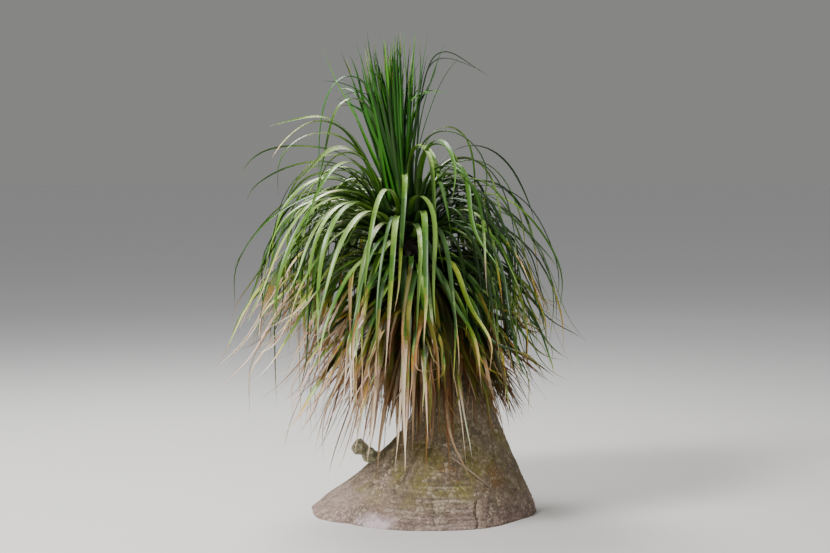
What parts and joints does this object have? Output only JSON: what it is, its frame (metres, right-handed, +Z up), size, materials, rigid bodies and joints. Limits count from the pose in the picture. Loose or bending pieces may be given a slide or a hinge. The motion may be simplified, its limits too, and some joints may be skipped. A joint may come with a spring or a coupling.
{
  "type": "ponytail palm",
  "caption": "Ponytail palm with a wide swollen foot, a short leaning trunk and one mop of long arching strap leaves.",
  "frame": {"origin": "middle of the flat cut under the foot, at ground level", "axes": "+Z up along the plant's height; -Y is the side seen in the picture; +X is to the right in it"},
  "size_m": [1.505, 1.3731, 2.0044],
  "materials": {
    "bark": "dry, finely cracked grey-brown bark",
    "stub_bark": "pale grey-green broken bark",
    "dead_leaves": "dry tan to straw leaves, matte",
    "lower_leaves": "ageing leaves, olive and gold with tan tips",
    "middle_leaves": "full-grown leaves, mid green to yellow-green",
    "upper_leaves": "full-grown leaves, fresh green with a soft sheen",
    "young_leaves": "young arching leaves, green with a soft sheen",
    "spear_leaves": "youngest upright leaves, deep green"
  },
  "bodies": {
    "root": {"trunk": "bark", "side_stub": "stub_bark", "dead_leaves_01": "dead_leaves", "dead_leaves_02": "dead_leaves", "dead_leaves_03": "dead_leaves", "dead_leaves_04": "dead_leaves", "dead_leaves_05": "dead_leaves", "dead_leaves_06": "dead_leaves", "dead_leaves_07": "dead_leaves", "dead_leaves_08": "dead_leaves", "lower_leaves_01": "lower_leaves", "lower_leaves_02": "lower_leaves", "lower_leaves_03": "lower_leaves", "lower_leaves_04": "lower_leaves", "lower_leaves_05": "lower_leaves", "lower_leaves_06": "lower_leaves", "lower_leaves_07": "lower_leaves", "lower_leaves_08": "lower_leaves", "lower_leaves_09": "lower_leaves", "lower_leaves_10": "lower_leaves", "middle_leaves_01": "middle_leaves", "middle_leaves_02": "middle_leaves", "middle_leaves_03": "middle_leaves", "middle_leaves_04": "middle_leaves", "middle_leaves_05": "middle_leaves", "middle_leaves_06": "middle_leaves", "middle_leaves_07": "middle_leaves", "middle_leaves_08": "middle_leaves", "middle_leaves_09": "middle_leaves", "middle_leaves_10": "middle_leaves", "middle_leaves_11": "middle_leaves", "middle_leaves_12": "middle_leaves", "upper_leaves_01": "upper_leaves", "upper_leaves_02": "upper_leaves", "upper_leaves_03": "upper_leaves", "upper_leaves_04": "upper_leaves", "upper_leaves_05": "upper_leaves", "upper_leaves_06": "upper_leaves", "upper_leaves_07": "upper_leaves", "upper_leaves_08": "upper_leaves", "upper_leaves_09": "upper_leaves", "upper_leaves_10": "upper_leaves", "upper_leaves_11": "upper_leaves", "upper_leaves_12": "upper_leaves", "young_leaves_01": "young_leaves", "young_leaves_02": "young_leaves", "young_leaves_03": "young_leaves", "young_leaves_04": "young_leaves", "young_leaves_05": "young_leaves", "young_leaves_06": "young_leaves", "young_leaves_07": "young_leaves", "young_leaves_08": "young_leaves", "spear_leaves": "spear_leaves"}
  },
  "joints": []
}
